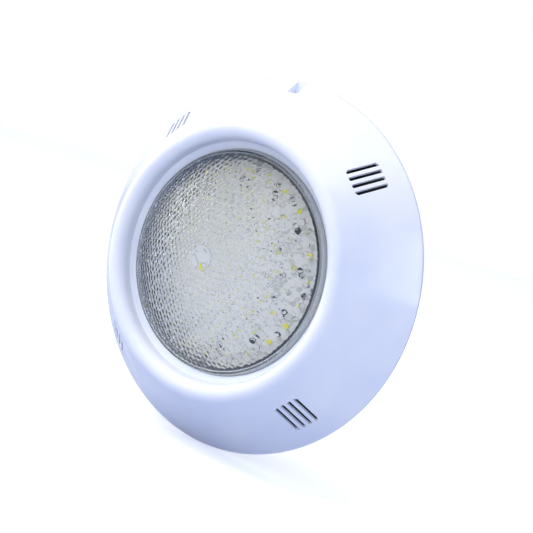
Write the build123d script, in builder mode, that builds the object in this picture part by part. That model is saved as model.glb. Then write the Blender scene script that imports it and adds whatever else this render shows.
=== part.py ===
"""Surface-mounted underwater pool light: a sealed LED lamp behind a vented face ring, on a bayonet bracket.

Row frame, millimetres: the wall is the plane y = 0, the lamp faces -Y and +Z is up.
The origin is the centre of the bracket's back face. Depth means distance from the wall, along -Y.
"""

import os
from math import asin, atan2, cos, degrees, hypot, radians, sin, sqrt

from build123d import *

# ---- driving dimensions -------------------------------------------------------------------
RIM_R = 145.0  # half of the nominal 290 mm diameter
RIM_GAP = 0.5  # the rim stands this far off the wall, so the lamp can turn
RIM_TOP = 2.6
SKIN = 2.6  # moulded wall thickness of the face ring
FLANK_OUT = (134.07, 14.2)  # two (radius, depth) points on the conical flank
FLANK_IN = (105.0, 46.4)  # here the flank runs into the bead
BEAD_R = 8.0
LIP_R, LIP_TOP, LIP_BOTTOM = 85.5, 33.4, 31.4
RECESS_CREASE = (90.5, 38.0)
COLLAR_IN, COLLAR_OUT = 92.4, 94.8

VENT_GROUPS = (45, 135, 225, 315)
VENTS_PER_GROUP, VENT_PITCH = 4, 5.87
VENT_LENGTH, VENT_WIDTH, VENT_GROUP_R = 26.5, 3.0, 15.5
VENT_CORNER = 1.0
NOTCH_WIDTH, NOTCH_IN_R, NOTCH_FLOOR, NOTCH_WALL = 9.3, 134.8, 2.2, 2.5

LENS_FLANGE_R, LENS_FLANGE = 92.0, (28.4, 31.4)
DOME_EDGE = (82.0, 39.5)
DOME_APEX = 68.0
LENS_T = 2.8
GATE_R, GATE_TOP = 9.5, 68.5

FLANGE = (23.6, 27.0)  # the housing's front flange, as depths
FLANGE_R = 104.5
POT_R, POT_WALL, POT_BACK = 72.0, 3.0, 4.0
RING_SCREWS, RING_SCREW_R, BOSS_R = 8, 99.5, 4.2
RING_SCREW_PHASE = 22.5

BOARD_R, BOARD_T = 80.0, 1.6
BOARD_FRONT = FLANGE[1] + BOARD_T
LED_RINGS = ((13, 6), (27, 10), (41, 14), (55, 18), (69, 24))  # (radius, count)
LED_SIZE, LED_H = (3.5, 2.8), 1.2
PHOSPHOR_SIZE, PHOSPHOR_H = (2.7, 2.1), 0.15

BOARD_SCREW_R, WIRE_POINTS = 75.5, ((-3.0, -20.0), (3.0, -20.0))
SMALL_SCREW = (2.6, 1.5, 1.25)  # head radius, head height, shank radius

DRIVER_R, DRIVER_Z, DRIVER_T, STANDOFF_R = 52.0, 12.0, 1.6, 44.0
DRIVER_FRONT = DRIVER_Z + DRIVER_T
TERMINAL_POINTS = ((-3.0, -38.0), (3.0, -38.0))

GLAND_ANGLE, GLAND_DEPTH, GLAND_THREAD_R = 237.0, 13.7, 6.0
GLAND_AF = 16.0  # hexagon across its flats
CABLE_R = 3.8
PORT_R, PORT_END = 8.5, 78.0
WASHER_T = 1.5
HEX_START = PORT_END + WASHER_T
NECK_START, NECK_END, NECK_R = HEX_START + 4.0, HEX_START + 12.5, 6.5
NUT_START, NUT_SHOULDER, NUT_END = HEX_START + 5.0, HEX_START + 14.6, HEX_START + 18.0

PLATE_T, PLATE_R, CABLE_HOLE_R = 3.0, 131.0, 20.0
PLATE_RIM, PLATE_RIBS, PLATE_RIB_IN_R, PLATE_RIB_TOP = 2.5, 24, 106.0, 6.0
HOOK_ANGLES, HOOK_HALF, HOOK_STOP, LUG_HALF = (90, 210, 330), 15.0, 13.8, 12.0
HOOK_R = (75.0, 81.0, 85.0)  # overhang, post inner and post outer radius
HOOK_Z = (8.0, 11.0)
LUG_R, LUG_Z = 80.4, (4.6, 7.6)
WALL_HOLE_PHASE, WALL_HOLE_PCD_R, WALL_HOLE_R = 30.0, 80.0, 2.6

# ---- frames and helpers -------------------------------------------------------------------
OPTICAL = Axis((0, 0, 0), (0, -1, 0))
SECTION = Plane(origin=(0, 0, 0), x_dir=(1, 0, 0), z_dir=(0, 0, -1))  # local x radius, local y depth


def face_plane(depth):
    """The plane at this depth: local x is +X, local y is +Z, and its normal faces the pool."""
    return Plane(origin=(0, -depth, 0), x_dir=(1, 0, 0), z_dir=(0, -1, 0))


def radial_section(angle):
    """Local x points out along this angle, local y is depth."""
    a = radians(angle)
    out = Vector(cos(a), 0, sin(a))
    return Plane(origin=(0, 0, 0), x_dir=out, z_dir=out.cross(Vector(0, -1, 0)))


def radial_plane(angle, radius, depth):
    """A plane facing out along this angle; local x is along depth."""
    a = radians(angle)
    out = Vector(cos(a), 0, sin(a))
    return Plane(origin=(radius * cos(a), -depth, radius * sin(a)), x_dir=(0, -1, 0), z_dir=out)


def disc(depth0, depth1, outer, inner=0.0):
    """A plain disc or ring between two depths."""
    with BuildPart() as made:
        with BuildSketch(face_plane(depth0)):
            Circle(outer)
            if inner:
                Circle(inner, mode=Mode.SUBTRACT)
        extrude(amount=depth1 - depth0)
    return made.part


def sector(depth0, depth1, r0, r1, angle, half):
    """A ring segment from r0 to r1, half degrees each side of angle."""
    with BuildPart() as made:
        with BuildSketch(face_plane(depth0)):
            with BuildLine():
                inner = CenterArc((0, 0), r0, angle - half, 2 * half)
                outer = CenterArc((0, 0), r1, angle - half, 2 * half)
                Line(inner @ 0, outer @ 0)
                Line(inner @ 1, outer @ 1)
            make_face()
        extrude(amount=depth1 - depth0)
    return made.part


def finish(made, name):
    """Labels one finished piece and writes its STEP."""
    made.label = name
    export_step(made, f"parts/{name}.step")


def polar(radius, count, phase=0.0):
    """Points on a circle, as (x, z) pairs."""
    steps = [radians(phase + k * 360 / count) for k in range(count)]
    return [(radius * cos(a), radius * sin(a)) for a in steps]


def screws(points, seat, head_r, head_h, shank_r, length, towards=1):
    """Pan-head screws standing on the seat depth. towards is +1 for heads that face the pool."""
    with BuildPart() as made:
        with BuildSketch(face_plane(seat)):
            with Locations(*points):
                Circle(head_r)
        extrude(amount=towards * head_h)
        with BuildSketch(face_plane(seat)):
            with Locations(*points):
                Circle(shank_r)
        extrude(amount=-towards * length)
        with BuildSketch(face_plane(seat + towards * head_h)):
            with Locations(*points):
                Rectangle(head_r * 1.3, head_r * 0.24)
                Rectangle(head_r * 0.24, head_r * 1.3)
        extrude(amount=-towards * head_h * 0.55, mode=Mode.SUBTRACT)
    return made.part


def blocks(locations, depth, size, height):
    """One small rectangular block at each place on the board."""
    with BuildPart() as made:
        with BuildSketch(face_plane(depth)):
            with Locations(*locations):
                Rectangle(*size)
        extrude(amount=height)
    return made.part


def led_locations():
    """Each LED's place, turned so its long side is tangential, with rings offset from each other."""
    found = []
    for k, (radius, count) in enumerate(LED_RINGS):
        for n in range(count):
            angle = (n + 0.5 * (k % 2)) * 360 / count + 4
            a = radians(angle)
            found.append(Location((radius * cos(a), radius * sin(a)), angle + 90))
    return found


def component_locations(radius, count, phase):
    """Places on a circle for parts whose long side is tangential."""
    return [
        Location((x, z), phase + k * 360 / count + 90)
        for k, (x, z) in enumerate(polar(radius, count, phase))
    ]


def gland_piece(radial0, radial1, bore, outer=None):
    """A gland piece between two radial distances: round, or a hexagon when no outer radius is given."""
    with BuildPart() as made:
        with BuildSketch(radial_plane(GLAND_ANGLE, radial0, GLAND_DEPTH)):
            if outer:
                Circle(outer)
            else:
                RegularPolygon(GLAND_AF / 2, 6, major_radius=False)
            Circle(bore, mode=Mode.SUBTRACT)
        extrude(amount=radial1 - radial0)
    return made.part


os.makedirs("parts", exist_ok=True)

# ---- face ring ----------------------------------------------------------------------------
run, rise = FLANK_OUT[0] - FLANK_IN[0], FLANK_IN[1] - FLANK_OUT[1]
slope = rise / run
normal_r, normal_z = rise / hypot(run, rise), run / hypot(run, rise)  # out of the flank
bead_c = (FLANK_IN[0] - BEAD_R * normal_r, FLANK_IN[1] - BEAD_R * normal_z)


def flank_depth(radius, inset=0.0):
    """Depth of the flank at this radius, or of the skin this far inside it."""
    return FLANK_OUT[1] - inset * normal_z + (FLANK_OUT[0] - inset * normal_r - radius) * slope


def on_bead(radius, angle):
    return (bead_c[0] + radius * cos(radians(angle)), bead_c[1] + radius * sin(radians(angle)))


flank_angle = degrees(atan2(normal_z, normal_r))
skin_r = BEAD_R - SKIN
skin_angle = 180 - degrees(asin(sqrt(skin_r**2 - (bead_c[0] - COLLAR_OUT) ** 2) / skin_r))
rim_crest = (RIM_R - (RIM_TOP - flank_depth(RIM_R)) / slope, RIM_TOP)

with BuildPart() as face_ring:
    with BuildSketch(SECTION):
        with BuildLine():
            Polyline((RIM_R, RIM_GAP), (RIM_R, RIM_TOP), rim_crest, FLANK_IN)
            bead = ThreePointArc(FLANK_IN, on_bead(BEAD_R, 100), on_bead(BEAD_R, 168))
            Polyline(
                bead @ 1,
                RECESS_CREASE,
                (LIP_R, LIP_TOP),
                (LIP_R, LIP_BOTTOM),
                (COLLAR_IN, LIP_BOTTOM),
                (COLLAR_IN, FLANGE[1]),
                (COLLAR_OUT, FLANGE[1]),
                on_bead(skin_r, skin_angle),
            )
            inside = ThreePointArc(
                on_bead(skin_r, skin_angle), on_bead(skin_r, 92), on_bead(skin_r, flank_angle)
            )
            foot_r = RIM_R - SKIN
            Polyline(inside @ 1, (foot_r, flank_depth(foot_r, SKIN)), (foot_r, RIM_GAP), (RIM_R, RIM_GAP))
        make_face()
    revolve(axis=OPTICAL)
    # screw bosses up into the bead, each with a rib that stiffens the flank
    with BuildSketch(face_plane(FLANGE[1])):
        with PolarLocations(RING_SCREW_R, RING_SCREWS, RING_SCREW_PHASE):
            Circle(BOSS_R)
    extrude(amount=20.0)
    for k in range(RING_SCREWS):
        angle = RING_SCREW_PHASE + k * 360 / RING_SCREWS
        with BuildSketch(radial_section(angle)):
            with BuildLine():
                Polyline((100, 28), (100, 43.5), (105.5, 43.5), (137.5, 7.6), (137.5, 3.2), (106, 28), (100, 28))
            make_face()
        extrude(amount=1.0, both=True)
    with BuildSketch(face_plane(FLANGE[1])):
        with PolarLocations(RING_SCREW_R, RING_SCREWS, RING_SCREW_PHASE):
            Circle(1.65)
    extrude(amount=13.0, mode=Mode.SUBTRACT)
    # pry notch at the top: a pocket with its own walls, open at the rim
    with BuildSketch(radial_section(90)):
        with BuildLine():
            back_r = NOTCH_IN_R - NOTCH_WALL
            Polyline((back_r, RIM_GAP), (back_r, 14.6), (143.4, 2.3), (143.4, RIM_GAP), (back_r, RIM_GAP))
        make_face()
    extrude(amount=NOTCH_WIDTH / 2 + NOTCH_WALL, both=True)
    with BuildSketch(face_plane(NOTCH_FLOOR)):
        with Locations((0, NOTCH_IN_R + 10)):
            Rectangle(NOTCH_WIDTH, 20)
    extrude(amount=20.0, mode=Mode.SUBTRACT)
    # water vents through the flank
    vent_r = (FLANK_OUT[0] + 116.3) / 2
    for angle in VENT_GROUPS:
        a = radians(angle)
        across = Vector(-sin(a), 0, cos(a))
        out = Vector(normal_r * cos(a), -normal_z, normal_r * sin(a))
        where = Vector(vent_r * cos(a), -flank_depth(vent_r), vent_r * sin(a))
        with BuildSketch(Plane(origin=where, x_dir=across, z_dir=out)):
            with GridLocations(VENT_PITCH, 0, VENTS_PER_GROUP, 1):
                RectangleRounded(VENT_WIDTH, VENT_LENGTH, VENT_CORNER)
            Circle(VENT_GROUP_R, mode=Mode.INTERSECT)
        extrude(amount=5.0, both=True, mode=Mode.SUBTRACT)
finish(face_ring.part, "face_ring")

# ---- lens: a domed shell with a clamped flange and the moulding gate's button ---------------
dome_r = (DOME_EDGE[0] ** 2 + (DOME_APEX - DOME_EDGE[1]) ** 2) / (2 * (DOME_APEX - DOME_EDGE[1]))


def dome_depth(radius, inset=0.0):
    return DOME_APEX - dome_r + sqrt((dome_r - inset) ** 2 - radius**2)


with BuildPart() as lens:
    with BuildSketch(SECTION):
        with BuildLine():
            Polyline(
                (0, dome_depth(0, LENS_T)),
                (0, GATE_TOP),
                (GATE_R, GATE_TOP),
                (GATE_R, dome_depth(GATE_R)),
            )
            ThreePointArc((GATE_R, dome_depth(GATE_R)), (45, dome_depth(45)), DOME_EDGE)
            ThreePointArc(DOME_EDGE, (83.9, 38.3), (84.7, 36.2))
            Polyline(
                (84.7, 36.2),
                (85.2, LENS_FLANGE[1]),
                (LENS_FLANGE_R, LENS_FLANGE[1]),
                (LENS_FLANGE_R, LENS_FLANGE[0]),
                (82.3, LENS_FLANGE[0]),
                (81.8, 35.9),
                (79.6, dome_depth(79.6, LENS_T)),
            )
            ThreePointArc(
                (79.6, dome_depth(79.6, LENS_T)), (42, dome_depth(42, LENS_T)), (0, dome_depth(0, LENS_T))
            )
        make_face()
    revolve(axis=OPTICAL)
finish(lens.part, "lens")

finish(disc(FLANGE[1], LENS_FLANGE[0], 91.5, 83.5), "lens_gasket")
finish(disc(BOARD_FRONT, 35.6, 81.2, 78.4), "board_retaining_ring")

# ---- sealed housing: pot, front flange, bayonet lugs and cable port --------------------------
with BuildPart() as lamp_housing:
    with BuildSketch(SECTION):
        with BuildLine():
            inner = POT_R - POT_WALL
            Polyline(
                (0, POT_BACK),
                (POT_R, POT_BACK),
                (POT_R, FLANGE[0]),
                (FLANGE_R, FLANGE[0]),
                (FLANGE_R, FLANGE[1]),
                (inner, FLANGE[1]),
                (inner, POT_BACK + POT_WALL),
                (0, POT_BACK + POT_WALL),
                (0, POT_BACK),
            )
        make_face()
    revolve(axis=OPTICAL)
    for angle in HOOK_ANGLES:
        add(sector(*LUG_Z, POT_R - 1, LUG_R, angle, LUG_HALF))
    with BuildSketch(radial_plane(GLAND_ANGLE, POT_R - 4, GLAND_DEPTH)):
        Circle(PORT_R)
    extrude(amount=PORT_END - POT_R + 4)
    with BuildSketch(face_plane(POT_BACK + POT_WALL)):
        with PolarLocations(STANDOFF_R, 4, 45):
            Circle(3.2)
    extrude(amount=DRIVER_Z - POT_BACK - POT_WALL)
    with BuildSketch(face_plane(DRIVER_Z)):
        with PolarLocations(STANDOFF_R, 4, 45):
            Circle(1.3)
    extrude(amount=-4.0, mode=Mode.SUBTRACT)
    with BuildSketch(radial_plane(GLAND_ANGLE, POT_R - 6, GLAND_DEPTH)):
        Circle(GLAND_THREAD_R + 0.05)
    extrude(amount=20.0, mode=Mode.SUBTRACT)
    with BuildSketch(face_plane(FLANGE[0])):
        with PolarLocations(RING_SCREW_R, RING_SCREWS, RING_SCREW_PHASE):
            Circle(1.75)
    extrude(amount=FLANGE[1] - FLANGE[0], mode=Mode.SUBTRACT)
    with BuildSketch(face_plane(FLANGE[1])):
        with PolarLocations(BOARD_SCREW_R, 4):
            Circle(1.3)
    extrude(amount=-2.6, mode=Mode.SUBTRACT)
finish(lamp_housing.part, "lamp_housing")


ring_points = polar(RING_SCREW_R, RING_SCREWS, RING_SCREW_PHASE)
finish(screws(ring_points, FLANGE[0], 3.0, 2.2, 1.6, 14.0, -1), "ring_screws")

# ---- LED board ------------------------------------------------------------------------------
with BuildPart() as led_board:
    with BuildSketch(face_plane(FLANGE[1])):
        Circle(BOARD_R)
        with PolarLocations(BOARD_SCREW_R, 4):
            Circle(1.6, mode=Mode.SUBTRACT)
        with Locations(*WIRE_POINTS):
            Circle(1.1, mode=Mode.SUBTRACT)
    extrude(amount=BOARD_T)
finish(led_board.part, "led_board")
finish(screws(polar(BOARD_SCREW_R, 4), BOARD_FRONT, *SMALL_SCREW, 3.8), "board_screws")


finish(blocks(led_locations(), BOARD_FRONT, LED_SIZE, LED_H), "led_packages")
finish(blocks(led_locations(), BOARD_FRONT + LED_H, PHOSPHOR_SIZE, PHOSPHOR_H), "led_phosphors")


resistor_places = component_locations(69, 24, 11.5)
resistor_places += component_locations(48, 14, 6)
resistor_places += component_locations(34, 10, 0)
finish(blocks(resistor_places, BOARD_FRONT, (3.2, 1.6), 0.6), "resistors")
finish(blocks(component_locations(62, 12, 9), BOARD_FRONT, (4.5, 2.5), 1.5), "regulator_chips")

# ---- driver board in the pot ------------------------------------------------------------------
with BuildPart() as driver_board:
    with BuildSketch(face_plane(DRIVER_Z)):
        Circle(DRIVER_R)
        with PolarLocations(STANDOFF_R, 4, 45):
            Circle(1.6, mode=Mode.SUBTRACT)
    extrude(amount=DRIVER_T)
finish(driver_board.part, "driver_board")
finish(screws(polar(STANDOFF_R, 4, 45), DRIVER_FRONT, *SMALL_SCREW, 5.2), "driver_board_screws")

with BuildPart() as smoothing_capacitors:
    with BuildSketch(face_plane(DRIVER_FRONT)):
        with Locations((-20, 12), (-20, -2)):
            Circle(5.0)
    extrude(amount=10.5)
finish(smoothing_capacitors.part, "smoothing_capacitors")
finish(blocks([Location((18, 16), 0)], DRIVER_FRONT, (15, 6), 9.0), "bridge_rectifier")
with BuildPart() as inductor:
    with BuildSketch(face_plane(DRIVER_FRONT)):
        with Locations((20, -8)):
            Circle(8.0)
            Circle(3.5, mode=Mode.SUBTRACT)
    extrude(amount=6.0)
    fillet(inductor.edges(), 1.2)
finish(inductor.part, "inductor")
with BuildPart() as terminal_block:
    with BuildSketch(face_plane(DRIVER_FRONT)):
        with Locations((0, -38)):
            Rectangle(12, 9)
    extrude(amount=9.0)
    with BuildSketch(face_plane(DRIVER_FRONT + 9.0)):
        with Locations(*TERMINAL_POINTS):
            Circle(2.0)
    extrude(amount=-4.0, mode=Mode.SUBTRACT)
finish(terminal_block.part, "terminal_block")
finish(screws(TERMINAL_POINTS, DRIVER_FRONT + 6.5, 1.9, 1.2, 0.9, 1.5), "terminal_screws")
with BuildPart() as lead_wires:
    with BuildSketch(face_plane(DRIVER_FRONT)):
        with Locations(*WIRE_POINTS):
            Circle(0.9)
    extrude(amount=BOARD_FRONT + 0.5 - DRIVER_FRONT)
finish(lead_wires.part, "lead_wires")


# ---- cable gland on the pot's side --------------------------------------------------------------
finish(gland_piece(PORT_END, HEX_START, GLAND_THREAD_R, PORT_R - 0.3), "gland_washer")
with BuildPart() as gland_body:
    add(gland_piece(POT_R - 2.5, HEX_START, CABLE_R, GLAND_THREAD_R))
    add(gland_piece(HEX_START, NECK_START, CABLE_R))
    add(gland_piece(NECK_START, NECK_END, 4.7, NECK_R))
finish(gland_body.part, "gland_body")
finish(gland_piece(NECK_START, NECK_END + 0.5, CABLE_R, 4.6), "gland_seal")
finish(gland_piece(NECK_END + 0.6, NUT_SHOULDER - 0.1, CABLE_R, NECK_R), "gland_thrust_ring")
with BuildPart() as gland_nut:
    add(gland_piece(NUT_START, NUT_SHOULDER, NECK_R + 0.08))
    with BuildSketch(radial_plane(GLAND_ANGLE, NUT_SHOULDER, GLAND_DEPTH)):
        Circle(7.9)
    extrude(amount=NUT_END - NUT_SHOULDER, taper=25)
    with BuildSketch(radial_plane(GLAND_ANGLE, NUT_SHOULDER, GLAND_DEPTH)):
        Circle(CABLE_R + 0.3)
    extrude(amount=NUT_END - NUT_SHOULDER, mode=Mode.SUBTRACT)
finish(gland_nut.part, "gland_nut")

# ---- wall bracket: plate, cable opening, three bayonet hooks with stops ---------------------------
with BuildPart() as wall_bracket:
    add(disc(0, PLATE_T, PLATE_R, CABLE_HOLE_R))
    add(disc(PLATE_T - 1, PLATE_RIB_TOP, PLATE_R, PLATE_R - PLATE_RIM))
    with BuildSketch(face_plane(PLATE_T - 1)):
        with PolarLocations((PLATE_RIB_IN_R + PLATE_R - 1) / 2, PLATE_RIBS, 7.5):
            Rectangle(PLATE_R - 1 - PLATE_RIB_IN_R, 2.0)
    extrude(amount=PLATE_RIB_TOP - PLATE_T + 1)
    for angle in HOOK_ANGLES:
        add(sector(PLATE_T - 1, HOOK_Z[1], HOOK_R[1], HOOK_R[2], angle, HOOK_HALF))
        add(sector(*HOOK_Z, HOOK_R[0], HOOK_R[1] + 1, angle, HOOK_HALF))
        add(sector(PLATE_T - 1, HOOK_Z[1], HOOK_R[0], HOOK_R[2], angle - HOOK_STOP, 1.5))
    with BuildSketch(face_plane(0)):
        with PolarLocations(WALL_HOLE_PCD_R, 3, WALL_HOLE_PHASE):
            Circle(WALL_HOLE_R)
    extrude(amount=PLATE_T, mode=Mode.SUBTRACT)
    with BuildSketch(face_plane(PLATE_T)):
        with PolarLocations(WALL_HOLE_PCD_R, 3, WALL_HOLE_PHASE):
            Circle(4.6)
    extrude(amount=-1.8, taper=45, mode=Mode.SUBTRACT)
finish(wall_bracket.part, "wall_bracket")
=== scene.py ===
"""Looks of the underwater pool light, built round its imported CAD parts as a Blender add-on.

Metres, in the row frame: the wall is y = 0, the light faces -Y and +Z is up.
"""

import math

import bpy
import numpy as np
from mathutils import Matrix, Vector


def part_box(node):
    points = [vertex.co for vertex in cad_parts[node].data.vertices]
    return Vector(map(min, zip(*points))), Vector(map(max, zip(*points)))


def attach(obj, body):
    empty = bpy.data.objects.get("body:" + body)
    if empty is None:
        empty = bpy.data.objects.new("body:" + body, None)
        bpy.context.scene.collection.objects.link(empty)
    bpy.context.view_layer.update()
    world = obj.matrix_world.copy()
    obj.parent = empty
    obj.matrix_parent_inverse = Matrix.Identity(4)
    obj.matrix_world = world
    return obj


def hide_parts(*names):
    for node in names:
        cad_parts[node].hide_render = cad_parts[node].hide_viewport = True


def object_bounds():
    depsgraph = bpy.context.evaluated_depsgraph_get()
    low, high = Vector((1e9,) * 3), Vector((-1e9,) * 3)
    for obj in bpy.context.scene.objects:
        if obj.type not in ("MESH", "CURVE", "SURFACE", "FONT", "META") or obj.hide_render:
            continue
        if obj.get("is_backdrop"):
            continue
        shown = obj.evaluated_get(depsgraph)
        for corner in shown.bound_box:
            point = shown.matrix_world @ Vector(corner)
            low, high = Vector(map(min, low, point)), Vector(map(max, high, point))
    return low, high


bl_info = {
    "name": "Pool light looks",
    "version": (1, 0, 0),
    "blender": (4, 5, 0),
    "location": "3D Viewport > Sidebar > Pool light",
    "description": "Builds the lens, LEDs, surfaces and studio of an underwater pool light",
    "category": "Object",
}

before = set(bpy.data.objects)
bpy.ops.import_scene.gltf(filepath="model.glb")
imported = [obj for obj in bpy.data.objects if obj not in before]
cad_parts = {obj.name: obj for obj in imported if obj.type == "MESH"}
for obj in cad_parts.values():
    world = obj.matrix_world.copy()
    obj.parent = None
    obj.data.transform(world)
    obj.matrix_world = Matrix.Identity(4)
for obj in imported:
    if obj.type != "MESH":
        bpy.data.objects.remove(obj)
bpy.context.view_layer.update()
MM = 0.001

# ---- the lens: radius from the optical axis and depth from the wall, in millimetres -------------
GATE_R = 9.5
GATE_RISE = 0.5
# Radius, and rise over the dome's crown.
GATE_BUTTON = ((2.0, 0.5), (4.0, 0.48), (6.0, 0.43), (7.6, 0.34), (8.7, 0.18), (9.3, -0.05))
DOME_EDGE = (82.0, 39.5)
SHOULDER = ((82.6, 39.25), (83.3, 38.8), (83.9, 38.2), (84.4, 37.3), (84.7, 36.2), (85.1, 32.0))
SHOULDER_FOOT_R = 85.3
MATT_SHOULDER_R = 83.4
FLANGE_TOP = 31.4
FLANGE_CHAMFER = 0.2
FLANGE_INNER_R = 82.3
INNER_SHOULDER = ((82.0, 34.0), (81.6, 36.4), (80.8, 37.6))
INNER_DOME_R = (79.4, 2.0)
# Keeps the clear lens just off what clamps it, so that no two faces lie in one plane.
SEAT_GAP = 0.08
# Margins between the pebbles and the gate, and between the pebbles and the dome's edge.
PEBBLES_START, PEBBLES_STOP = 0.3, 0.4
# Fine enough to draw each pebble's slopes.
RELIEF_ROWS, INNER_ROWS, LENS_COLUMNS = 150, 40, 960

# ---- the LED board: distance of each part's ends from its middle, in millimetres ----------------
SOLDER_OFFSET = 1.95
RESISTOR_END_OFFSET = 1.34
# Steps round each rounded corner.
LOOP_STEPS = 4

# ---- the studio ---------------------------------------------------------------------------------
FLOOR_RADIUS, FLOOR_SIDES, FLOOR_GAP = 5.0, 96, 0.5 * MM
# Name, place, aim, width and height, watts, colour, and whether gloss and clear surfaces mirror it.
LIGHTS = (
    ("key", (-1.2, -0.6, 1.7), (0, 0, 0), (1.2, 0.9), 39.0, "#FFF9F0", False),
    ("front", (0.2, -1.7, 0.5), (0, 0, 0), (0.9, 0.6), 7.0, "#FFF8EC", False),
    ("strip_right", (1.5, -0.45, 0.5), (0, 0, 0.02), (0.10, 0.9), 3.0, "#F4F7FF", True),
    ("strip_left", (-1.6, -0.5, 0.1), (0, 0, 0), (0.14, 1.4), 3.6, "#FFFDF8", True),
)
SKY_BRIGHT_SIDE = (-0.45, -0.15, 0.88)
SKY_STRENGTH = 0.94
CAMERA_PLACE, CAMERA_AIM = (0.4604, -0.7097, 0.0833), (0.0093, 0.0062, 0.0021)
# Degrees that the camera leans over, anticlockwise from behind it.
CAMERA_LEAN = 16.31
SENSOR_WIDTH, FOCAL_LENGTH = 36.0, 74.08


# ---- colour and geometry helpers ----------------------------------------------------------------
def linear(hex_colour):
    """An sRGB hex colour as linear RGBA."""
    found = []
    for k in (1, 3, 5):
        c = int(hex_colour[k : k + 2], 16) / 255
        found.append(c / 12.92 if c <= 0.04045 else ((c + 0.055) / 1.055) ** 2.4)
    return (*found, 1.0)


def new_mesh(name, verts, faces, body, smooth_angle=35.0):
    """A mesh object that rides on a CAD body, smooth except where its faces meet sharply."""
    mesh = bpy.data.meshes.new(name)
    mesh.from_pydata(verts, [], faces)
    mesh.validate()
    obj = bpy.data.objects.new(name, mesh)
    bpy.context.scene.collection.objects.link(obj)
    mesh.shade_smooth()
    mesh.set_sharp_from_angle(angle=math.radians(smooth_angle))
    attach(obj, body)
    return obj


def islands(node):
    """Centre of each separate solid of a CAD node, from its vertices welded on a fine grid."""
    weld = 0.01 * MM
    mesh = bpy.data.objects[node].data
    co = np.empty(len(mesh.vertices) * 3)
    mesh.vertices.foreach_get("co", co)
    cells = np.round(co.reshape(-1, 3) / weld).astype(int)
    keys, welded = np.unique(cells, axis=0, return_inverse=True)
    welded = welded.ravel()
    parent = list(range(len(keys)))

    def root(k):
        while parent[k] != k:
            parent[k] = parent[parent[k]]
            k = parent[k]
        return k

    for edge in mesh.edges:
        a, b = (root(welded[v]) for v in edge.vertices)
        parent[a] = b
    groups = {}
    for k in range(len(keys)):
        groups.setdefault(root(k), []).append(keys[k] * weld)
    return sorted(tuple(np.mean(group, axis=0)) for group in groups.values())


def rounded_loop(half_x, half_y, corner):
    """Points of a rounded rectangle, counter-clockwise."""
    found = []
    for sx, sy, start in ((1, 1, 0), (-1, 1, 90), (-1, -1, 180), (1, -1, 270)):
        for k in range(LOOP_STEPS + 1):
            a = math.radians(start + 90 * k / LOOP_STEPS)
            x = sx * (half_x - corner) + corner * math.cos(a)
            y = sy * (half_y - corner) + corner * math.sin(a)
            found.append((x, y))
    return found


def lofted(name, places, sections, body, shift=0.0):
    """One small lofted solid at each place on the LED board, with its long side tangential.

    Each section is (half length, half width, corner radius, depth) in millimetres, from the first
    cap to the last. shift moves every solid along its own length.
    """
    verts, faces = [], []
    n = 4 * (LOOP_STEPS + 1)
    for x, z in places:
        a = math.atan2(z, x)
        radial = Vector((math.cos(a), 0, math.sin(a)))
        tangent = Vector((-math.sin(a), 0, math.cos(a)))
        middle = Vector((x, 0, z)) + tangent * shift * MM
        first = len(verts)
        for length, width, corner, depth in sections:
            for u, v in rounded_loop(length, width, corner):
                verts.append(middle + (tangent * u + radial * v) * MM + Vector((0, -depth * MM, 0)))
        for s in range(len(sections) - 1):
            for k in range(n):
                i, j = first + s * n + k, first + s * n + (k + 1) % n
                faces.append((i, j, j + n, i + n))
        last = first + (len(sections) - 1) * n
        faces.append(tuple(range(first, first + n))[::-1])
        faces.append(tuple(range(last, last + n)))
    return new_mesh(name, verts, faces, body)


# ---- shader helpers -----------------------------------------------------------------------------
def per_mm(size):
    """Texture scale that gives features of this size, in millimetres, on object coordinates."""
    return 1.0 / (size * MM)


def add(tree, kind, settings=None, **sockets):
    """Adds one shader node, with each socket set to a constant or linked to another node.

    In a socket's name _ stands for a space, and i with a number is its place in the list. On a Mix
    node i0 is the factor, i2 and i3 mix numbers, and i6 and i7 mix colours, whose result is
    output 2. A node given instead of one of its outputs stands for its first output.
    """
    node = tree.nodes.new(kind)
    for key, value in (settings or {}).items():
        setattr(node, key, value)
    for key, value in sockets.items():
        counted = key[0] == "i" and key[1:].isdigit()
        socket = node.inputs[int(key[1:]) if counted else key.replace("_", " ")]
        if isinstance(value, bpy.types.Node):
            value = value.outputs[0]
        if isinstance(value, bpy.types.NodeSocket):
            tree.links.new(value, socket)
        else:
            socket.default_value = value
    return node


def blank(name):
    """An empty node material, and the object coordinates that every pattern is laid on."""
    material = bpy.data.materials.new(name)
    material.use_nodes = True
    tree = material.node_tree
    tree.nodes.clear()
    place = add(tree, "ShaderNodeTexCoord").outputs["Object"]
    return material, tree, place


def spread(tree, place, size, low, high, detail=3.0):
    """Noise of this size in millimetres, remapped to run from low to high."""
    noise = add(tree, "ShaderNodeTexNoise", Vector=place, Scale=per_mm(size), Detail=detail)
    ends = {"From_Min": 0.3, "From_Max": 0.7, "To_Min": low, "To_Max": high}
    return add(tree, "ShaderNodeMapRange", Value=noise, **ends)


def past_radius(tree, place, radius, blend):
    """0 nearer the optical axis than this radius, 1 beyond it by more than the blend."""
    by = {"operation": "MULTIPLY"}
    flat = add(tree, "ShaderNodeVectorMath", by, i0=place, i1=(1.0, 0.0, 1.0))
    reach = add(tree, "ShaderNodeVectorMath", {"operation": "LENGTH"}, i0=flat).outputs["Value"]
    return add(tree, "ShaderNodeMapRange", Value=reach, From_Min=radius, From_Max=radius + blend)


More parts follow.
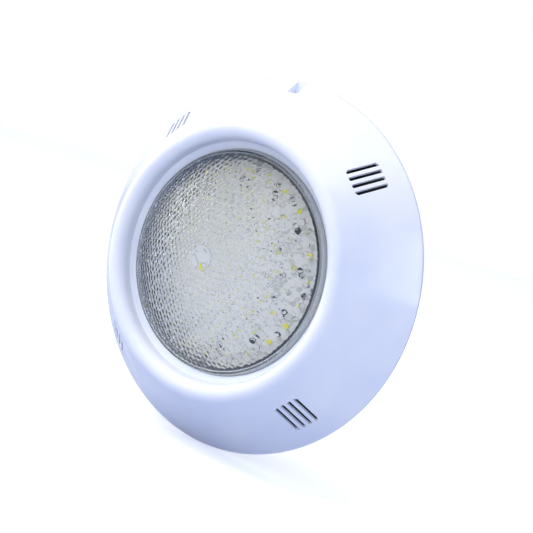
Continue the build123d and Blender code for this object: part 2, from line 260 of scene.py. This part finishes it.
# ---- ways of making -----------------------------------------------------------------------------
def moulded(name, colour, shade, rough, grain_mm, relief_mm, ior, edge_mm=0.3, scatter=0.0):
    """Injection-moulded plastic: flow marks shift the tone, and the tool's finish sets the grain.

    Each edge has the small radius that a mould leaves, which catches a thin line of light. Real
    grain is about 0.05 mm, which is too fine to show, so it is drawn a few times as coarse.
    """
    material, tree, place = blank(name)
    flow = spread(tree, place, 45.0, 0.0, 1.0, 2.0)
    ends = {"i6": linear(colour), "i7": linear(shade)}
    tone = add(tree, "ShaderNodeMix", {"data_type": "RGBA"}, i0=flow, **ends).outputs[2]
    gloss = spread(tree, place, 14.0, rough * 0.8, rough * 1.25)
    grain = spread(tree, place, grain_mm, 0.0, 1.0)
    edges = add(tree, "ShaderNodeBevel", {"samples": 4}, Radius=edge_mm * MM)
    shader = add(
        tree,
        "ShaderNodeBsdfPrincipled",
        Base_Color=tone,
        Roughness=gloss,
        IOR=ior,
        Normal=add(tree, "ShaderNodeBump", Height=grain, Distance=relief_mm * MM, Normal=edges),
        Subsurface_Weight=scatter,
        Subsurface_Scale=1.2 * MM,
    )
    add(tree, "ShaderNodeOutputMaterial", Surface=shader)
    return material


def turned_metal(name, colour, shade, rough, line_mm=0.25):
    """Cold-formed metal: drawn lines, coarser than real so that they show, and dull worn patches."""
    material, tree, place = blank(name)
    drawn = add(tree, "ShaderNodeMapping", Vector=place, Scale=(1.0, 0.15, 1.0))
    lines = spread(tree, drawn, line_mm, 0.0, 1.0, 4.0)
    patches = spread(tree, place, 3.0, 0.0, 1.0)
    ends = {"i6": linear(colour), "i7": linear(shade)}
    edges = add(tree, "ShaderNodeBevel", {"samples": 4}, Radius=0.15 * MM)
    shader = add(
        tree,
        "ShaderNodeBsdfPrincipled",
        Base_Color=add(tree, "ShaderNodeMix", {"data_type": "RGBA"}, i0=patches, **ends).outputs[2],
        Metallic=1.0,
        Roughness=spread(tree, place, 1.5, rough * 0.75, rough * 1.35),
        Normal=add(tree, "ShaderNodeBump", Height=lines, Distance=0.01 * MM, Normal=edges),
    )
    add(tree, "ShaderNodeOutputMaterial", Surface=shader)
    return material


# ---- materials of the face and the lens ---------------------------------------------------------
def bezel_abs(colour):
    """ABS, moulded in a polished tool: a clear sheen with the faintest ripple over flow marks."""
    material, tree, place = blank("ABS, injection-moulded in a polished tool")
    flow = spread(tree, place, 60.0, 0.0, 1.0, 2.0)
    ends = {"i6": colour, "i7": linear("#DEE4F3")}
    ripple = spread(tree, place, 9.0, 0.0, 1.0, 1.0)
    haze = spread(tree, place, 0.5, 0.0, 1.0, 5.0)
    edges = add(tree, "ShaderNodeBevel", {"samples": 4}, Radius=0.45 * MM)
    normal = add(tree, "ShaderNodeBump", Height=ripple, Distance=0.02 * MM, Normal=edges)
    normal = add(tree, "ShaderNodeBump", Height=haze, Distance=0.002 * MM, Normal=normal)
    shader = add(
        tree,
        "ShaderNodeBsdfPrincipled",
        Base_Color=add(tree, "ShaderNodeMix", {"data_type": "RGBA"}, i0=flow, **ends).outputs[2],
        Roughness=spread(tree, place, 20.0, 0.13, 0.24),
        IOR=1.53,
        Normal=normal,
        Subsurface_Weight=0.25,
        Subsurface_Radius=(1.0, 1.0, 1.3),
        Subsurface_Scale=1.5 * MM,
    )
    add(tree, "ShaderNodeOutputMaterial", Surface=shader)
    return material


def clear_polycarbonate():
    """Polycarbonate, moulded clear: bends light at each pebble, and lets the lamps reach the board.

    The shoulder is left matt, so that it shows as a pale band round the clear face.
    """
    material, tree, place = blank("Polycarbonate, injection-moulded clear")
    orange_peel = spread(tree, place, 0.8, 0.0, 1.0, 2.0)
    matt = past_radius(tree, place, MATT_SHOULDER_R * MM, 0.8 * MM)
    depth = spread(tree, place, 30.0, 0.0, 1.0)
    ends = {"i6": linear("#FBFDFF"), "i7": linear("#F3F8FC")}
    polished = spread(tree, place, 12.0, 0.0, 0.035)
    clear = add(
        tree,
        "ShaderNodeBsdfPrincipled",
        Base_Color=add(tree, "ShaderNodeMix", {"data_type": "RGBA"}, i0=depth, **ends).outputs[2],
        Roughness=add(tree, "ShaderNodeMix", i0=matt, i2=polished, i3=0.45),
        IOR=1.585,
        Transmission_Weight=add(tree, "ShaderNodeMix", i0=matt, i2=1.0, i3=0.6),
        Normal=add(tree, "ShaderNodeBump", Height=orange_peel, Distance=0.004 * MM),
    )
    open_glass = add(tree, "ShaderNodeBsdfTransparent", Color=linear("#F4F7F9"))
    lamp_rays = add(tree, "ShaderNodeLightPath").outputs["Is Shadow Ray"]
    mixed = add(tree, "ShaderNodeMixShader", i0=lamp_rays, i1=clear, i2=open_glass)
    add(tree, "ShaderNodeOutputMaterial", Surface=mixed)
    return material


# ---- materials of the LED board -----------------------------------------------------------------
def board_mask():
    """Aluminium-core board under white mask: copper areas show as a slightly raised, paler tone."""
    material, tree, place = blank("Aluminium-core board, white solder mask screened over copper")
    by = {"feature": "DISTANCE_TO_EDGE"}
    areas = add(tree, "ShaderNodeTexVoronoi", by, Vector=place, Scale=per_mm(11.0))
    copper = add(tree, "ShaderNodeMapRange", Value=areas, From_Min=0.035, From_Max=0.06)
    weave = spread(tree, place, 0.5, 0.0, 1.0)
    ends = {"i6": linear("#D6D2C9"), "i7": linear("#FAF6EE")}
    raised = add(tree, "ShaderNodeBump", Height=copper, Distance=0.05 * MM)
    shader = add(
        tree,
        "ShaderNodeBsdfPrincipled",
        Base_Color=add(tree, "ShaderNodeMix", {"data_type": "RGBA"}, i0=copper, **ends).outputs[2],
        Roughness=spread(tree, place, 6.0, 0.28, 0.42),
        IOR=1.5,
        Normal=add(tree, "ShaderNodeBump", Height=weave, Distance=0.005 * MM, Normal=raised),
    )
    add(tree, "ShaderNodeOutputMaterial", Surface=shader)
    return material


def ring_rubber():
    """Silicone rubber, moulded black over a grey ring: dusty black, pale on its outer edge."""
    material, tree, place = blank("Silicone rubber, moulded black over a grey ring")
    outer_r = -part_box("board_retaining_ring")[0].x
    side = past_radius(tree, place, outer_r - 0.3 * MM, 0.1 * MM)
    dust = spread(tree, place, 1.2, 0.0, 1.0)
    ends = {"i6": linear("#1B1D21"), "i7": linear("#2A2D33")}
    black = add(tree, "ShaderNodeMix", {"data_type": "RGBA"}, i0=dust, **ends).outputs[2]
    ends = {"i6": black, "i7": linear("#D6D5CF")}
    grain = spread(tree, place, 0.4, 0.0, 1.0)
    edges = add(tree, "ShaderNodeBevel", {"samples": 4}, Radius=0.3 * MM)
    shader = add(
        tree,
        "ShaderNodeBsdfPrincipled",
        Base_Color=add(tree, "ShaderNodeMix", {"data_type": "RGBA"}, i0=side, **ends).outputs[2],
        Roughness=spread(tree, place, 2.0, 0.4, 0.6),
        IOR=1.52,
        Normal=add(tree, "ShaderNodeBump", Height=grain, Distance=0.01 * MM, Normal=edges),
    )
    add(tree, "ShaderNodeOutputMaterial", Surface=shader)
    return material


def phosphor():
    """Phosphor powder cast in silicone: saturated yellow, grainy just under a glossy skin.

    Real grains are about 0.02 mm, and are drawn coarser so that they show. The faint glow stands
    for the light that the powder turns yellow.
    """
    material, tree, place = blank("Yellow phosphor cast in silicone")
    grains = spread(tree, place, 0.12, 0.0, 1.0, 2.0)
    ends = {"i6": linear("#EDE63A"), "i7": linear("#E0DA28")}
    shader = add(
        tree,
        "ShaderNodeBsdfPrincipled",
        Base_Color=add(tree, "ShaderNodeMix", {"data_type": "RGBA"}, i0=grains, **ends).outputs[2],
        Roughness=spread(tree, place, 0.6, 0.15, 0.28),
        IOR=1.41,
        Normal=add(tree, "ShaderNodeBump", Height=grains, Distance=0.004 * MM),
        Emission_Color=linear("#EAE22A"),
        Emission_Strength=0.15,
    )
    add(tree, "ShaderNodeOutputMaterial", Surface=shader)
    return material


def package_plastic():
    """PPA, moulded: a dull white that frames each yellow window."""
    return moulded(
        "PPA, moulded white LED package",
        "#F1F1EC",
        "#E6E5DC",
        rough=0.42,
        grain_mm=0.3,
        relief_mm=0.01,
        ior=1.5,
        edge_mm=0.05,
    )


def solder():
    """Solder, reflowed: small bright fillets that glint at the ends of each part."""
    return turned_metal("Solder, reflowed tin", "#C9CACB", "#B4B5B6", rough=0.28, line_mm=0.1)


def resistor_glaze():
    """Glaze, fired over the resistor: small, dark and shiny."""
    return moulded(
        "Resistor glaze, fired dark",
        "#2A2522",
        "#3A3029",
        rough=0.25,
        grain_mm=0.4,
        relief_mm=0.004,
        ior=1.5,
        edge_mm=0.05,
    )


def chip_epoxy():
    """Epoxy, transfer-moulded round a chip: flat near-black with a fine sparked grain."""
    return moulded(
        "Epoxy, transfer-moulded black",
        "#17181A",
        "#222325",
        rough=0.45,
        grain_mm=0.15,
        relief_mm=0.01,
        ior=1.55,
        edge_mm=0.1,
    )


def board_screw_steel():
    """Stainless steel, cold-headed and tumbled: warm grey, softly shining."""
    name = "Stainless steel, cold-headed and tumbled"
    return turned_metal(name, "#C6C3BD", "#A9A7A2", rough=0.26)


# ---- materials of the driver board --------------------------------------------------------------
def glass_fibre_board():
    """Glass-fibre laminate under green mask: the weave shows as a fine cross-hatch.

    Its threads are about 0.5 mm apart, and are drawn coarser so that they show.
    """
    material, tree, place = blank("FR4 laminate, woven glass under screened green mask")
    thread = {"Vector": place, "Scale": per_mm(1.2), "Distortion": 0.6}
    warp = add(tree, "ShaderNodeTexWave", **thread).outputs["Fac"]
    weft = add(tree, "ShaderNodeTexWave", {"bands_direction": "Z"}, **thread).outputs["Fac"]
    weave = add(tree, "ShaderNodeMath", {"operation": "MAXIMUM"}, i0=warp, i1=weft)
    ends = {"i6": linear("#0E4A26"), "i7": linear("#176235")}
    shader = add(
        tree,
        "ShaderNodeBsdfPrincipled",
        Base_Color=add(tree, "ShaderNodeMix", {"data_type": "RGBA"}, i0=weave, **ends).outputs[2],
        Roughness=spread(tree, place, 4.0, 0.25, 0.4),
        IOR=1.5,
        Normal=add(tree, "ShaderNodeBump", Height=weave, Distance=0.01 * MM),
    )
    add(tree, "ShaderNodeOutputMaterial", Surface=shader)
    return material


def capacitor_sleeve():
    """PET sleeve, shrunk over the can: dark blue, glossy, with shallow puckers."""
    return moulded(
        "PET sleeve, heat-shrunk over a can",
        "#1A2138",
        "#232C49",
        rough=0.22,
        grain_mm=1.2,
        relief_mm=0.02,
        ior=1.57,
    )


def inductor_dip():
    """Ferrite, dipped in epoxy: olive grey with thick rounded edges."""
    return moulded(
        "Ferrite, epoxy-dipped",
        "#3E4438",
        "#4D5446",
        rough=0.35,
        grain_mm=0.5,
        relief_mm=0.03,
        ior=1.55,
        edge_mm=0.4,
    )


def terminal_nylon():
    """PA66, moulded: an even mid blue with a half sheen."""
    return moulded(
        "PA66, moulded blue",
        "#1F5D96",
        "#2A6AA5",
        rough=0.35,
        grain_mm=0.3,
        relief_mm=0.01,
        ior=1.53,
    )


def wire_sleeve():
    """Silicone, extruded over the wire: dull dark red."""
    return moulded(
        "Silicone wire sleeve, extruded red",
        "#7A1512",
        "#8E201B",
        rough=0.55,
        grain_mm=0.6,
        relief_mm=0.03,
        ior=1.52,
    )


def plated_steel():
    """Steel, zinc-plated: cool grey, a little cloudy."""
    return turned_metal("Steel, zinc-plated", "#C4C6C4", "#ADAFA9", rough=0.3)


# ---- materials of the housing, gland and bracket ------------------------------------------------
def housing_nylon():
    """PA6 with glass, moulded: matt off-white, roughened where the fibres come to the surface."""
    return moulded(
        "PA6, glass-filled, moulded white",
        "#E2E3E2",
        "#D3D5D6",
        rough=0.48,
        grain_mm=0.35,
        relief_mm=0.03,
        ior=1.54,
        edge_mm=0.4,
    )


def gasket_silicone():
    """Silicone rubber, moulded: milky, with light soaking in at the edges."""
    return moulded(
        "Silicone rubber, moulded translucent white",
        "#D3D1CA",
        "#C6C4BC",
        rough=0.45,
        grain_mm=0.6,
        relief_mm=0.02,
        ior=1.41,
        scatter=0.3,
    )


def ring_screw_steel():
    """Stainless steel, cold-headed: bright, with drawn lines left on the head."""
    return turned_metal("Stainless steel, cold-headed", "#C8C5BF", "#ABA9A4", rough=0.24)


def gland_nylon():
    """PA66, moulded: near-black with a soft sheen on its flats."""
    return moulded(
        "PA66, moulded black",
        "#17181A",
        "#212326",
        rough=0.36,
        grain_mm=0.4,
        relief_mm=0.015,
        ior=1.53,
        edge_mm=0.25,
    )


def seal_nitrile():
    """Nitrile rubber, moulded: dull black, greyed in patches by bloom."""
    return moulded(
        "Nitrile rubber, moulded black",
        "#151516",
        "#222224",
        rough=0.55,
        grain_mm=0.6,
        relief_mm=0.03,
        ior=1.52,
    )


def thrust_ring_nylon():
    """PA66, moulded without pigment: the warm ivory of the bare resin."""
    return moulded(
        "PA66, moulded natural",
        "#C9C6B8",
        "#BDB9A8",
        rough=0.4,
        grain_mm=0.5,
        relief_mm=0.01,
        ior=1.53,
        edge_mm=0.15,
    )


def bracket_abs():
    """ABS, moulded in a sparked tool and matt: its slate grey is painted shade, dark behind the
    vents.
    """
    return moulded(
        "ABS, moulded slate grey in a sparked tool",
        # The slate grey is painted shade: a dark colour that stands for the shadow behind the vents.
        "#33373E",
        "#3D424A",
        rough=0.5,
        grain_mm=0.25,
        relief_mm=0.035,
        ior=1.53,
        edge_mm=0.4,
    )


def paint(node_names, material):
    """Gives CAD nodes their material."""
    for name in node_names:
        mesh = bpy.data.objects[name].data
        mesh.materials.clear()
        mesh.materials.append(material)


def dress(obj, material):
    """Gives a piece made here its material."""
    obj.data.materials.append(material)


# ---- settings -----------------------------------------------------------------------------------
class PoolLightSizes(bpy.types.PropertyGroup):
    """Sizes of the pieces made here, in metres."""

    pebble_across: bpy.props.FloatProperty(
        name="Pebble width",
        description="Distance from one pebble on the lens to the next one beside it",
        default=4.4 * MM,
        min=1.0 * MM,
        unit="LENGTH",
    )
    pebble_height: bpy.props.FloatProperty(
        name="Pebble height",
        description="How far each pebble stands above the grooves round it",
        default=0.5 * MM,
        unit="LENGTH",
    )
    pebble_squash: bpy.props.FloatProperty(
        name="Pebble squash",
        description="Distance to the next pebble above, as a fraction of that to the one beside",
        default=0.8,
        min=0.1,
    )
    lens_wall: bpy.props.FloatProperty(
        name="Lens thickness",
        description="Wall thickness of the lens",
        default=2.8 * MM,
        unit="LENGTH",
    )


class PoolLightColours(bpy.types.PropertyGroup):
    """Colours that a user may change."""

    bezel: bpy.props.FloatVectorProperty(
        name="Bezel",
        description="Colour of the moulded face ring",
        subtype="COLOR",
        size=4,
        min=0.0,
        max=1.0,
        default=linear("#ECEFF7"),
    )
    floor: bpy.props.FloatVectorProperty(
        name="Floor",
        description="Colour of the studio floor",
        subtype="COLOR",
        size=4,
        min=0.0,
        max=1.0,
        default=linear("#E4E9F5"),
    )


# ---- face ring ----------------------------------------------------------------------------------
class POOLLIGHT_OT_bezel(bpy.types.Operator):
    """Gives the face ring its gloss white moulded surface"""

    bl_idname = "pool_light.bezel"
    bl_label = "Face ring"

    def execute(self, context):
        paint(["face_ring"], bezel_abs(context.scene.pool_light_colours.bezel))
        return {"FINISHED"}


# ---- lens ---------------------------------------------------------------------------------------
def pebbles(x, z, across, squash):
    """Height of the pebbled relief at each point, 0 in the grooves and 1 on the crowns.

    Each pebble is the cell of one seed of a staggered lattice whose seeds are shaken.
    """
    rng = np.random.default_rng(7)
    cells, shaking = 128, 0.42
    far = 9.0
    shake = (rng.random((cells, cells, 2)) - 0.5) * shaking
    u, v = x / across, z / (across * squash)
    row, nearest, second = np.floor(v), np.full(x.shape, far), np.full(x.shape, far)
    for dj in (-1, 0, 1, 2):
        j = (row + dj).astype(int)
        shift = 0.5 * (j % 2)
        column = np.floor(u - shift)
        for di in (-1, 0, 1, 2):
            i = (column + di).astype(int)
            jitter = shake[i % cells, j % cells]
            du = u - (i + shift + jitter[..., 0])
            dv = (v - (j + jitter[..., 1])) * squash
            d = np.hypot(du, dv)
            second = np.minimum(second, np.maximum(nearest, d))
            nearest = np.minimum(nearest, d)
    edge = 2 * nearest / np.maximum(nearest + second, 1e-9)
    return 1 - np.clip(edge, 0, 1) ** 2


def lens_outline(crown, back, flange_r, wall):
    """Outline of the lens as (radius, depth): out over the dome, round the flange and back inside.

    The second result is the stretch of it that carries the pebbles.
    """
    dome_edge = Vector(DOME_EDGE) * MM
    rise = crown - dome_edge.y
    sphere = (dome_edge.x**2 + rise**2) / (2 * rise)

    def dome(radius, inset=0.0):
        return crown - sphere + math.sqrt((sphere - inset) ** 2 - radius**2)

    gate_r = GATE_R * MM
    outline = [(r * MM, crown + up * MM) for r, up in GATE_BUTTON]
    outline += [(gate_r, dome(gate_r))]
    pebbled = slice(len(outline), len(outline) + RELIEF_ROWS)
    start, stop = gate_r + PEBBLES_START * MM, dome_edge.x - PEBBLES_STOP * MM
    outline += [(r, dome(r)) for r in np.linspace(start, stop, RELIEF_ROWS)]
    outline += [(r * MM, depth * MM) for r, depth in SHOULDER]

    top, rim = (FLANGE_TOP - SEAT_GAP) * MM, flange_r - SEAT_GAP * MM
    outline += [(SHOULDER_FOOT_R * MM, top), (flange_r - FLANGE_CHAMFER * MM, top)]
    outline += [(rim, top - FLANGE_CHAMFER * MM), (rim, back), (FLANGE_INNER_R * MM, back)]
    outline += [(r * MM, depth * MM) for r, depth in INNER_SHOULDER]
    widest, narrowest = INNER_DOME_R
    radii = np.linspace(widest * MM, narrowest * MM, INNER_ROWS)
    outline += [(r, dome(r, wall)) for r in radii]
    return np.array(outline), pebbled


def revolved_faces(rows, columns):
    """Faces of a closed solid of revolution, whose first two vertices are its poles."""
    k = np.arange(columns)
    n = (k + 1) % columns
    faces = [(0, 2 + a, 2 + b) for a, b in zip(k, n)]
    for row in range(rows - 1):
        here, there = 2 + row * columns, 2 + (row + 1) * columns
        faces += zip(here + k, there + k, there + n, here + n)
    end = 2 + (rows - 1) * columns
    faces += [(1, end + b, end + a) for a, b in zip(k, n)]
    return [tuple(int(i) for i in face) for face in faces]


class POOLLIGHT_OT_lens(bpy.types.Operator):
    """Builds the domed clear lens: pebbled face, gate button, matt shoulder and clamped flange"""

    bl_idname = "pool_light.lens"
    bl_label = "Pebbled lens"

    def execute(self, context):
        sizes = context.scene.pool_light_sizes
        lo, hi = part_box("lens")
        crown, back = -lo.y - GATE_RISE * MM, -hi.y + SEAT_GAP * MM
        outline, pebbled = lens_outline(crown, back, hi.x, sizes.lens_wall)

        angle = np.arange(LENS_COLUMNS) * 2 * math.pi / LENS_COLUMNS
        x = outline[:, :1] * np.cos(angle)
        z = outline[:, :1] * np.sin(angle)
        depth = np.repeat(outline[:, 1:], LENS_COLUMNS, axis=1)
        relief = pebbles(x[pebbled], z[pebbled], sizes.pebble_across, sizes.pebble_squash)
        # The relief runs in over a few rows at each end, so that the gate and the edge stay round.
        rows = np.arange(RELIEF_ROWS)
        run_in = np.clip(rows / 3, 0, 1) * np.clip((RELIEF_ROWS - 1 - rows) / 4, 0, 1)
        depth[pebbled] -= (1 - relief) * sizes.pebble_height * run_in[:, None]

        grid = np.stack([x, -depth, z], axis=-1).reshape(-1, 3)
        poles = [(0.0, -outline[0, 1], 0.0), (0.0, -outline[-1, 1], 0.0)]
        verts = [*poles, *map(tuple, grid)]
        faces = revolved_faces(len(outline), LENS_COLUMNS)
        lens = new_mesh("lens_pebbled", verts, faces, "lamp", smooth_angle=50.0)
        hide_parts("lens")
        dress(lens, clear_polycarbonate())
        return {"FINISHED"}


# ---- LED board ----------------------------------------------------------------------------------
class POOLLIGHT_OT_leds(bpy.types.Operator):
    """Builds the LED packages with their cups, windows and solder, and dresses the LED board"""

    bl_idname = "pool_light.leds"
    bl_label = "LED board"

    def execute(self, context):
        lo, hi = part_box("led_packages")
        base, top = -hi.y / MM, -lo.y / MM
        places = [(x, z) for x, _, z in islands("led_packages")]
        cup = [
            (1.70, 1.35, 0.15, base),
            (1.75, 1.40, 0.18, base + 0.3),
            (1.75, 1.40, 0.18, top - 0.25),
            (1.66, 1.31, 0.22, top),
            (1.56, 1.22, 0.45, top),
            (1.30, 1.00, 0.45, top - 0.45),
        ]
        packages = lofted("led_cups", places, cup, "lamp")
        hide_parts("led_packages")
        dress(packages, package_plastic())

        fill = [
            (1.32, 1.02, 0.45, top - 0.43),
            (1.50, 1.17, 0.46, top - 0.08),
            (1.32, 1.02, 0.46, top - 0.01),
            (0.80, 0.60, 0.40, top + 0.06),
        ]
        windows = lofted("led_phosphor_fill", places, fill, "lamp")
        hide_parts("led_phosphors")
        dress(windows, phosphor())

        tin = solder()
        fillet = [
            (0.42, 1.05, 0.25, base),
            (0.34, 0.95, 0.22, base + 0.12),
            (0.16, 0.80, 0.14, base + 0.35),
        ]
        for side, name in ((1, "led_solder_a"), (-1, "led_solder_b")):
            dress(lofted(name, places, fillet, "lamp", side * SOLDER_OFFSET), tin)

        chips = [(x, z) for x, _, z in islands("resistors")]
        cap_top = -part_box("resistors")[0].y / MM
        cap = [
            (0.30, 0.82, 0.08, base),
            (0.30, 0.84, 0.10, cap_top - 0.1),
            (0.26, 0.78, 0.08, cap_top + 0.04),
        ]
        for side, name in ((1, "resistor_end_a"), (-1, "resistor_end_b")):
            dress(lofted(name, chips, cap, "lamp", side * RESISTOR_END_OFFSET), tin)

        paint(["led_board"], board_mask())
        paint(["resistors"], resistor_glaze())
        paint(["regulator_chips", "bridge_rectifier"], chip_epoxy())
        paint(["board_screws"], board_screw_steel())
        paint(["board_retaining_ring"], ring_rubber())
        return {"FINISHED"}


# ---- pieces behind the board --------------------------------------------------------------------
class POOLLIGHT_OT_driver(bpy.types.Operator):
    """Dresses the driver board and what is soldered to it"""

    bl_idname = "pool_light.driver"
    bl_label = "Driver board"

    def execute(self, context):
        paint(["driver_board"], glass_fibre_board())
        paint(["smoothing_capacitors"], capacitor_sleeve())
        paint(["inductor"], inductor_dip())
        paint(["terminal_block"], terminal_nylon())
        paint(["lead_wires"], wire_sleeve())
        paint(["terminal_screws", "driver_board_screws"], plated_steel())
        return {"FINISHED"}


class POOLLIGHT_OT_housing(bpy.types.Operator):
    """Dresses the sealed housing, its gasket and the screws behind the flange"""

    bl_idname = "pool_light.housing"
    bl_label = "Housing"

    def execute(self, context):
        paint(["lamp_housing"], housing_nylon())
        paint(["lens_gasket"], gasket_silicone())
        paint(["ring_screws"], ring_screw_steel())
        return {"FINISHED"}


class POOLLIGHT_OT_gland(bpy.types.Operator):
    """Dresses the cable gland's pieces"""

    bl_idname = "pool_light.gland"
    bl_label = "Cable gland"

    def execute(self, context):
        paint(["gland_body", "gland_nut"], gland_nylon())
        paint(["gland_washer", "gland_seal"], seal_nitrile())
        paint(["gland_thrust_ring"], thrust_ring_nylon())
        return {"FINISHED"}


class POOLLIGHT_OT_bracket(bpy.types.Operator):
    """Dresses the wall bracket in plastic whose slate grey is painted shade behind the vents"""

    bl_idname = "pool_light.bracket"
    bl_label = "Wall bracket"

    def execute(self, context):
        paint(["wall_bracket"], bracket_abs())
        return {"FINISHED"}


# ---- studio -------------------------------------------------------------------------------------
def add_floor(scene, colour):
    """A pale round floor just under the light, darker and bluer in the light that it throws back."""
    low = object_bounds()[0].z - FLOOR_GAP
    turns = [k * 2 * math.pi / FLOOR_SIDES for k in range(FLOOR_SIDES)]
    verts = [(0, 0, low)]
    verts += [(FLOOR_RADIUS * math.cos(a), FLOOR_RADIUS * math.sin(a), low) for a in turns]
    faces = [(0, 1 + k, 1 + (k + 1) % FLOOR_SIDES) for k in range(FLOOR_SIDES)]
    mesh = bpy.data.meshes.new("studio_floor")
    mesh.from_pydata(verts, [], faces)
    floor = bpy.data.objects.new("studio_floor", mesh)
    scene.collection.objects.link(floor)
    floor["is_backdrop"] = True

    material, tree, place = blank("Studio floor, matt painted board")
    clouds = spread(tree, place, 400.0, 0.0, 1.0)
    ends = {"i6": colour, "i7": linear("#DDE4F3")}
    pale = add(tree, "ShaderNodeMix", {"data_type": "RGBA"}, i0=clouds, **ends).outputs[2]
    seen = add(tree, "ShaderNodeLightPath").outputs["Is Camera Ray"]
    ends = {"i6": linear("#A9B4D0"), "i7": pale}
    grain = spread(tree, place, 1.0, 0.0, 1.0)
    shader = add(
        tree,
        "ShaderNodeBsdfPrincipled",
        Base_Color=add(tree, "ShaderNodeMix", {"data_type": "RGBA"}, i0=seen, **ends).outputs[2],
        Roughness=0.75,
        Normal=add(tree, "ShaderNodeBump", Height=grain, Distance=0.02 * MM),
        Emission_Color=linear("#FFFFFF"),
        Emission_Strength=add(tree, "ShaderNodeMath", {"operation": "MULTIPLY"}, i0=seen, i1=0.4),
    )
    add(tree, "ShaderNodeOutputMaterial", Surface=shader)
    mesh.materials.append(material)


def add_light(scene, name, place, aim, size, power, colour, mirrored):
    """A soft box turned towards its aim."""
    data = bpy.data.lights.new(name, "AREA")
    data.shape = "RECTANGLE"
    data.size, data.size_y = size
    data.energy = power
    data.color = linear(colour)[:3]
    light = bpy.data.objects.new(name, data)
    scene.collection.objects.link(light)
    light.location = place
    towards = Vector(aim) - Vector(place)
    light.rotation_euler = towards.to_track_quat("-Z", "Y").to_euler()
    light.visible_glossy = mirrored
    light.visible_transmission = mirrored


def add_sky(scene):
    """A sky warm white above and blue below, patchy to gloss and plain white to the camera."""
    world = bpy.data.worlds.new("studio_sky")
    scene.world = world
    world.use_nodes = True
    tree = world.node_tree
    tree.nodes.clear()
    place = add(tree, "ShaderNodeTexCoord").outputs["Generated"]
    by = {"operation": "DOT_PRODUCT"}
    along = add(tree, "ShaderNodeVectorMath", by, i0=place, i1=SKY_BRIGHT_SIDE).outputs["Value"]
    ramp = add(tree, "ShaderNodeMapRange", Value=along, From_Min=-0.5, From_Max=0.85)
    ends = {"i6": linear("#548CDE"), "i7": linear("#FFFDF8")}
    sky = add(tree, "ShaderNodeMix", {"data_type": "RGBA"}, i0=ramp, **ends).outputs[2]
    clutter = add(tree, "ShaderNodeTexNoise", Vector=place, Scale=2.6, Detail=4.0)
    ends = {"From_Min": 0.42, "From_Max": 0.58, "To_Min": 0.35, "To_Max": 1.15}
    patches = add(tree, "ShaderNodeMapRange", Value=clutter, **ends)
    path = add(tree, "ShaderNodeLightPath").outputs
    level = add(tree, "ShaderNodeMix", i0=path["Is Diffuse Ray"], i2=patches, i3=1.0)
    power = add(tree, "ShaderNodeMath", {"operation": "MULTIPLY"}, i0=level, i1=SKY_STRENGTH)
    soft = add(tree, "ShaderNodeBackground", Color=sky, Strength=power)
    white = add(tree, "ShaderNodeBackground", Color=linear("#FFFFFF"), Strength=1.0)
    seen = add(tree, "ShaderNodeMixShader", i0=path["Is Camera Ray"], i1=soft, i2=white)
    add(tree, "ShaderNodeOutputWorld", Surface=seen)


def add_camera(scene):
    """The camera, in front of the light and to its right."""
    data = bpy.data.cameras.new("camera")
    data.sensor_width = SENSOR_WIDTH
    data.lens = FOCAL_LENGTH
    camera = bpy.data.objects.new("camera", data)
    scene.collection.objects.link(camera)
    towards = Vector(CAMERA_AIM) - Vector(CAMERA_PLACE)
    turn = towards.to_track_quat("-Z", "Y").to_matrix().to_4x4()
    lean = Matrix.Rotation(math.radians(CAMERA_LEAN), 4, "Z")
    camera.matrix_world = Matrix.Translation(CAMERA_PLACE) @ turn @ lean
    scene.camera = camera
    scene.view_settings.view_transform = "Standard"


class POOLLIGHT_OT_stage(bpy.types.Operator):
    """Builds the pale floor, the soft lights, the sky and the camera"""

    bl_idname = "pool_light.stage"
    bl_label = "Studio"

    def execute(self, context):
        scene = context.scene
        add_floor(scene, scene.pool_light_colours.floor)
        for light in LIGHTS:
            add_light(scene, *light)
        add_sky(scene)
        add_camera(scene)
        return {"FINISHED"}


# ---- panel and registration ---------------------------------------------------------------------
OPERATORS = (
    POOLLIGHT_OT_bezel,
    POOLLIGHT_OT_lens,
    POOLLIGHT_OT_leds,
    POOLLIGHT_OT_driver,
    POOLLIGHT_OT_housing,
    POOLLIGHT_OT_gland,
    POOLLIGHT_OT_bracket,
    POOLLIGHT_OT_stage,
)


class POOLLIGHT_PT_panel(bpy.types.Panel):
    """Buttons and settings of the pool light"""

    bl_idname = "POOLLIGHT_PT_panel"
    bl_label = "Pool light"
    bl_space_type = "VIEW_3D"
    bl_region_type = "UI"
    bl_category = "Pool light"

    def draw(self, context):
        layout = self.layout
        for group in (context.scene.pool_light_sizes, context.scene.pool_light_colours):
            box = layout.box()
            for key in group.__annotations__:
                box.prop(group, key)
        for operator in OPERATORS:
            layout.operator(operator.bl_idname)


CLASSES = (PoolLightSizes, PoolLightColours, *OPERATORS, POOLLIGHT_PT_panel)


def register():
    for cls in CLASSES:
        bpy.utils.register_class(cls)
    bpy.types.Scene.pool_light_sizes = bpy.props.PointerProperty(type=PoolLightSizes)
    bpy.types.Scene.pool_light_colours = bpy.props.PointerProperty(type=PoolLightColours)


def unregister():
    del bpy.types.Scene.pool_light_colours
    del bpy.types.Scene.pool_light_sizes
    for cls in reversed(CLASSES):
        bpy.utils.unregister_class(cls)


def main():
    """Builds every piece in order."""
    register()
    for operator in OPERATORS:
        family, name = operator.bl_idname.split(".")
        if getattr(getattr(bpy.ops, family), name)() != {"FINISHED"}:
            raise RuntimeError(f"{operator.bl_label} was not built")


if __name__ == "__main__":
    main()
